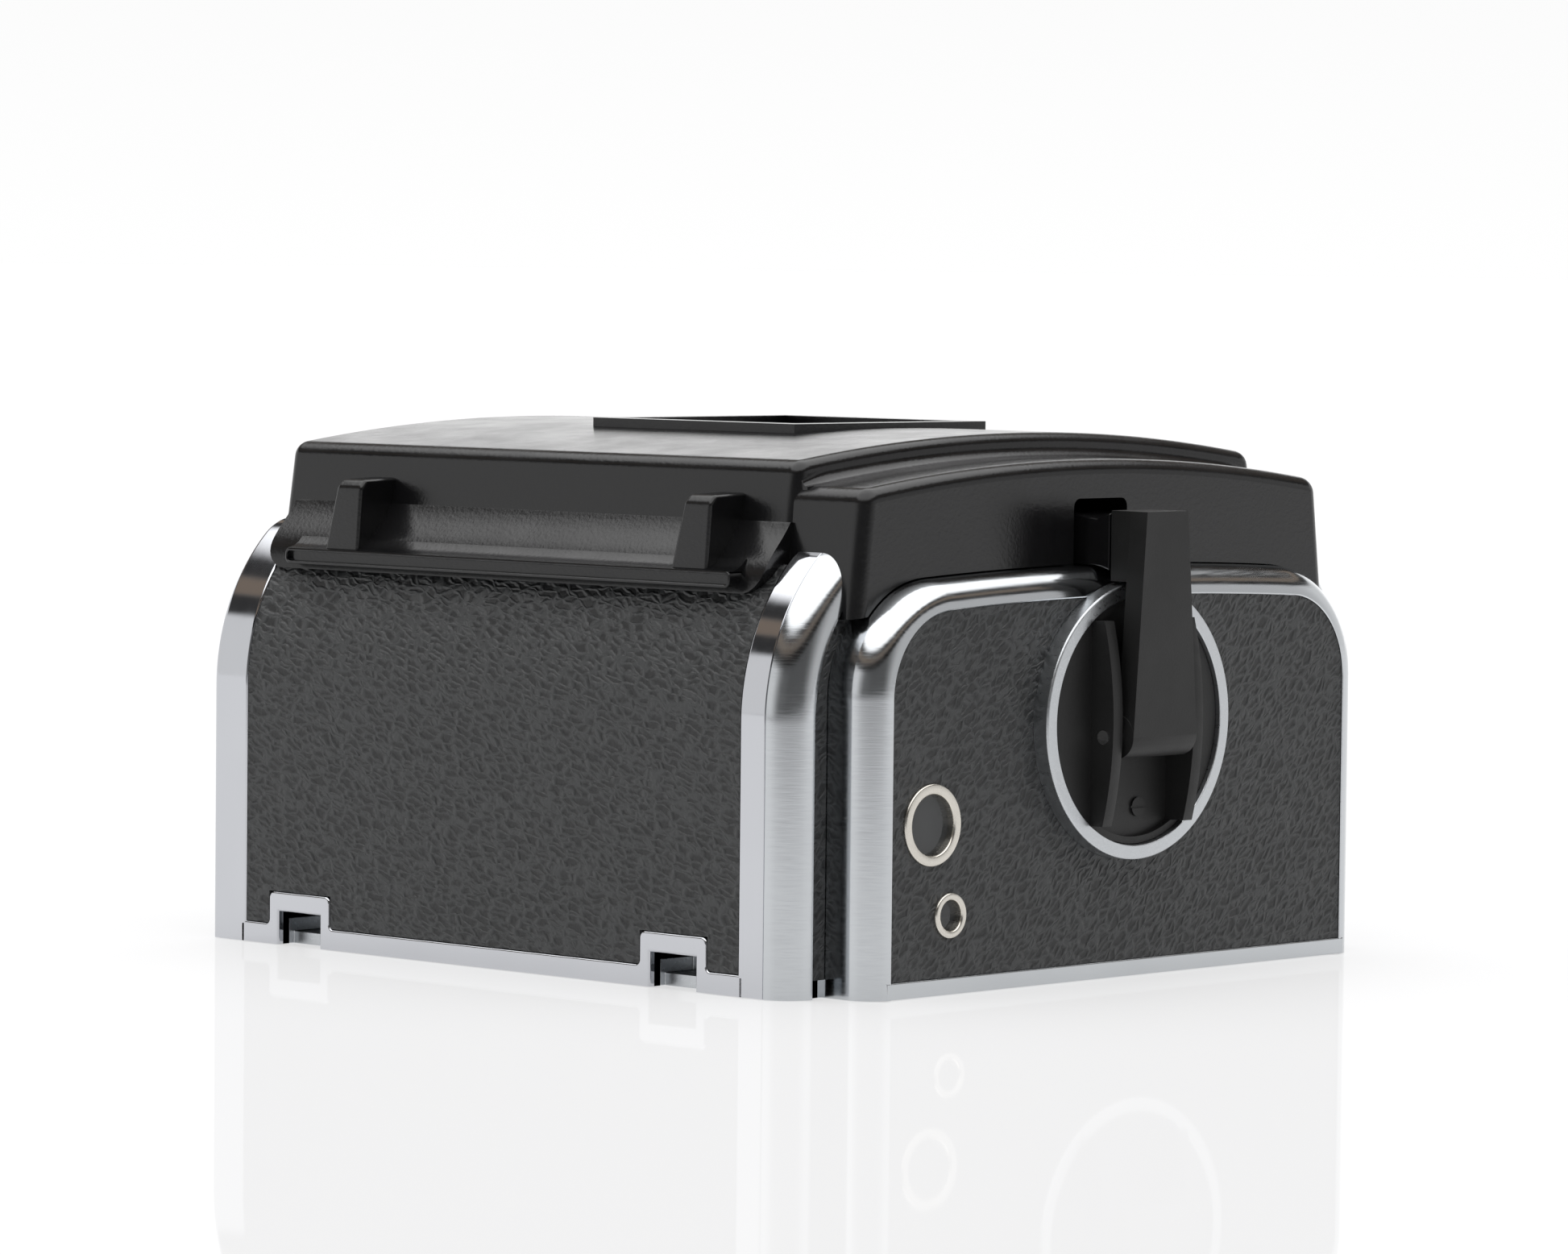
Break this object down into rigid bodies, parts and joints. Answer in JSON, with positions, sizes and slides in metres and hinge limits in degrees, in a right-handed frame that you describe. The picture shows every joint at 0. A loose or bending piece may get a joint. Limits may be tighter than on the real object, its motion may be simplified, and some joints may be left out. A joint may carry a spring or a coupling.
{
  "type": "roll film magazine",
  "caption": "Detachable roll-film magazine for a modular camera: chrome-edged leatherette body, black arched rear cover, folding winding crank, sliding film insert and dark slide.",
  "frame": {"origin": "bottom centre of the whole part's box, on the plane of the face that mates with the camera", "axes": "+Z from the mating face to the rear cover, +X along the spools to the crank side, -Y to the side with the hook notches"},
  "size_m": [0.1198, 0.0976, 0.0622],
  "materials": {
    "chrome": "satin chrome plate",
    "satin_metal": "satin anodised",
    "black_paint": "semi-gloss black enamel",
    "matte_black": "matte black",
    "leatherette": "pebbled black leatherette",
    "steel": "ground",
    "nickel": "brushed nickel",
    "glass": "clear",
    "brass": "machined",
    "dial_white": "matte",
    "spool_black": "matte"
  },
  "bodies": {
    "shell": {"main_shell": "chrome", "shell_end_frame": "chrome", "front_plate": "satin_metal", "light_trap": "matte_black", "gate_frame": "matte_black", "bottom_leather": "leatherette", "top_leather": "leatherette", "margin_leather": "leatherette", "notch_frames": "chrome", "gear_housing": "chrome", "side_leather": "leatherette", "crank_ring": "satin_metal", "counter_window_ring": "nickel", "counter_glass": "glass", "status_window_ring": "nickel", "status_glass": "glass", "gear_studs": "steel", "rear_cover": "black_paint", "side_cover": "black_paint", "memo_frame": "black_paint", "crank_rest": "black_paint", "front_screws": "steel", "latch_spring": "steel"},
    "crank": {"crank_disc": "matte_black", "crank_shaft": "steel", "crank_gear": "brass", "crank_pinion": "steel", "crank_pin": "steel", "crank_screw": "matte_black"},
    "crank_arm": {"crank_arm": "matte_black"},
    "take_up_drive": {"take_up_gear": "brass", "take_up_dog": "steel"},
    "counter_idler": {"idler_gear": "brass", "idler_pinion": "steel"},
    "counter_dial": {"counter_dial": "dial_white"},
    "status_drive": {"transport_gear": "brass", "status_disc": "dial_white"},
    "insert": {"insert_frame": "satin_metal", "insert_end_cap": "chrome", "end_cap_leather": "leatherette", "spool_pins": "steel", "roller_axles": "steel", "pressure_springs": "steel"},
    "pressure_plate": {"pressure_plate": "matte_black"},
    "supply_roller": {"supply_roller": "steel"},
    "take_up_roller": {"take_up_roller": "steel"},
    "supply_spool": {"supply_spool": "spool_black"},
    "take_up_spool": {"take_up_spool": "spool_black"},
    "key": {"key_hub": "chrome", "key_lock_cam": "steel"},
    "key_bail": {"key_bail": "chrome"},
    "dark_slide": {"dark_slide": "steel", "dark_slide_handle": "chrome"},
    "release": {"release_button": "chrome", "latch_bar": "steel"}
  },
  "joints": [
    {"name": "crank_spin", "type": "hinge", "parent": "shell", "child": "crank", "pos_m": [0.0527, 0, 0.0293], "axis": [1, 0, 0], "continuous": true},
    {"name": "crank_fold", "type": "hinge", "parent": "crank", "child": "crank_arm", "pos_m": [0.0574, 0, 0.0278], "axis": [0, 1, 0], "range_deg": [0, 170]},
    {"name": "take_up_drive_spin", "type": "hinge", "parent": "shell", "child": "take_up_drive", "pos_m": [0.0451, 0.02467, 0.0318], "axis": [1, 0, 0], "continuous": true},
    {"name": "take_up_spool_spin", "type": "hinge", "parent": "insert", "child": "take_up_spool", "pos_m": [-0.0004, 0.02467, 0.0318], "axis": [1, 0, 0], "continuous": true},
    {"name": "supply_spool_spin", "type": "hinge", "parent": "insert", "child": "supply_spool", "pos_m": [-0.0004, -0.02467, 0.0318], "axis": [1, 0, 0], "continuous": true},
    {"name": "counter_idler_spin", "type": "hinge", "parent": "shell", "child": "counter_idler", "pos_m": [0.0501, -0.00945, 0.01689], "axis": [1, 0, 0], "continuous": true},
    {"name": "counter_dial_spin", "type": "hinge", "parent": "shell", "child": "counter_dial", "pos_m": [0.0511, -0.024, 0.024], "axis": [1, 0, 0], "continuous": true},
    {"name": "transport_spin", "type": "hinge", "parent": "shell", "child": "status_drive", "pos_m": [0.0491, -0.0272, 0.0074], "axis": [1, 0, 0], "continuous": true},
    {"name": "insert_slide", "type": "slide", "parent": "shell", "child": "insert", "axis": [-1, 0, 0], "range_m": [0, 0.1]},
    {"name": "pressure_plate_lift", "type": "slide", "parent": "insert", "child": "pressure_plate", "axis": [0, 0, 1], "range_m": [0, 0.0008], "stiffness_N_per_m": 1500, "springref_m": -0.002, "deforming": ["pressure_springs"]},
    {"name": "supply_roller_spin", "type": "hinge", "parent": "insert", "child": "supply_roller", "pos_m": [-0.0009, -0.0348, 0.0094], "axis": [1, 0, 0], "continuous": true},
    {"name": "take_up_roller_spin", "type": "hinge", "parent": "insert", "child": "take_up_roller", "pos_m": [-0.0009, 0.0348, 0.0094], "axis": [1, 0, 0], "continuous": true},
    {"name": "key_turn", "type": "hinge", "parent": "insert", "child": "key", "pos_m": [-0.0449, 0, 0.028], "axis": [1, 0, 0], "range_deg": [0, 90]},
    {"name": "key_fold", "type": "hinge", "parent": "key", "child": "key_bail", "pos_m": [-0.046, 0, 0.028], "axis": [0, -1, 0], "range_deg": [0, 90]},
    {"name": "dark_slide_pull", "type": "slide", "parent": "shell", "child": "dark_slide", "axis": [-1, 0, 0], "range_m": [0, 0.078]},
    {"name": "release_push", "type": "slide", "parent": "shell", "child": "release", "axis": [1, 0, 0], "range_m": [0, 0.003], "stiffness_N_per_m": 400, "springref_m": -0.002}
  ],
  "couplings": [
    {"joint": "take_up_drive_spin", "follows": "crank_spin", "ratio": -1.5833},
    {"joint": "take_up_spool_spin", "follows": "crank_spin", "ratio": -1.5833},
    {"joint": "supply_spool_spin", "follows": "crank_spin", "ratio": -1.5833},
    {"joint": "counter_idler_spin", "follows": "crank_spin", "ratio": -0.3},
    {"joint": "counter_dial_spin", "follows": "crank_spin", "ratio": 0.068182},
    {"joint": "supply_roller_spin", "follows": "crank_spin", "ratio": 3.1667},
    {"joint": "take_up_roller_spin", "follows": "crank_spin", "ratio": 3.1667}
  ]
}
